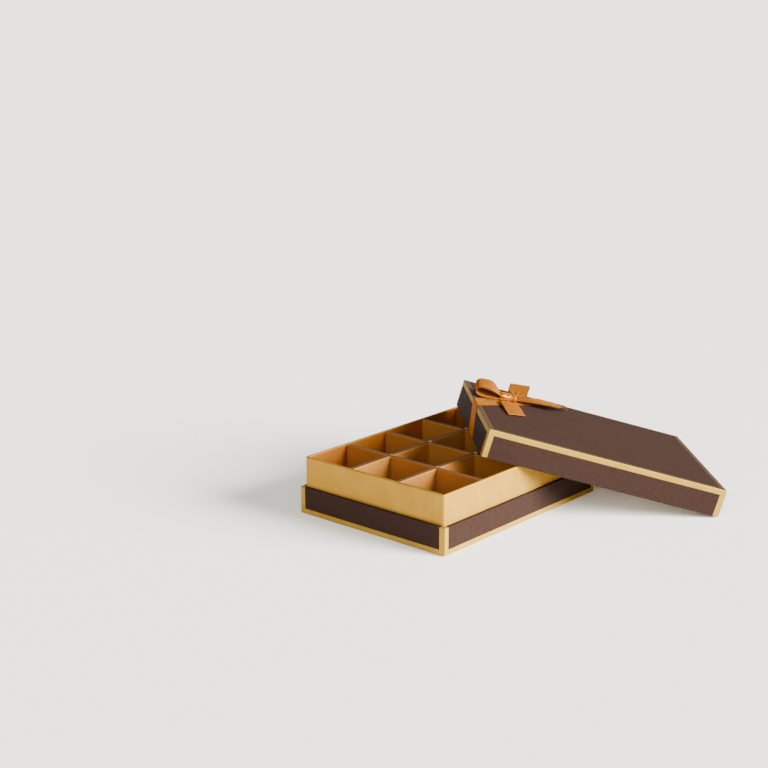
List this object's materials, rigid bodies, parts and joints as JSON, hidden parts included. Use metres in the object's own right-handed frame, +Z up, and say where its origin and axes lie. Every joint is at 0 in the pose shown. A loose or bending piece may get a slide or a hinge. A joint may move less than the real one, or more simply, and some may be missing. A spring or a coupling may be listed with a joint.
{
  "type": "chocolate box",
  "caption": "Rigid paper gift box for chocolates: brown panels with gold borders, raised gold neck, slotted divider grid, and a ribboned lid taken off and leaning on the open base.",
  "frame": {"origin": "middle of the base's underside, on the table", "axes": "+X along the base's long side, +Y along its short side, +Z up"},
  "size_m": [0.2394, 0.1984, 0.0678],
  "materials": {
    "greyboard": "matte",
    "gold_paper": "satin metallic",
    "brown_paper": "matte, fine fibre",
    "gold_card": "satin metallic",
    "satin_ribbon": "satin",
    "lining_paper": "matte"
  },
  "bodies": {
    "base": {"base_back_panel": "brown_paper", "base_floor_liner": "gold_paper", "base_front_panel": "brown_paper", "base_gold_wrap": "gold_paper", "base_left_panel": "brown_paper", "base_right_panel": "brown_paper", "base_tray_board": "greyboard", "base_underside_panel": "brown_paper", "neck_board": "greyboard", "neck_gold_wrap": "gold_paper"},
    "divider_grid": {"cross_divider_1": "gold_card", "cross_divider_2": "gold_card", "cross_divider_3": "gold_card", "long_divider_1": "gold_card", "long_divider_2": "gold_card"},
    "lid": {"bow_knot": "satin_ribbon", "bow_left_loop": "satin_ribbon", "bow_lower_tail": "satin_ribbon", "bow_right_tail": "satin_ribbon", "bow_upper_loop": "satin_ribbon", "lid_back_panel": "brown_paper", "lid_front_panel": "brown_paper", "lid_gold_wrap": "gold_paper", "lid_left_panel": "brown_paper", "lid_liner": "lining_paper", "lid_right_panel": "brown_paper", "lid_top_panel": "brown_paper", "lid_tray_board": "greyboard", "ribbon_strap": "satin_ribbon"}
  },
  "joints": [
    {"name": "lid_lift", "type": "slide", "parent": "base", "child": "lid", "axis": [0, 0, 1], "range_m": [0, 0.12]},
    {"name": "divider_lift", "type": "slide", "parent": "base", "child": "divider_grid", "axis": [0, 0, 1], "range_m": [0, 0.042]}
  ],
  "couplings": [
    {"joint": "divider_lift", "follows": "lid_lift", "ratio": 0.35}
  ]
}
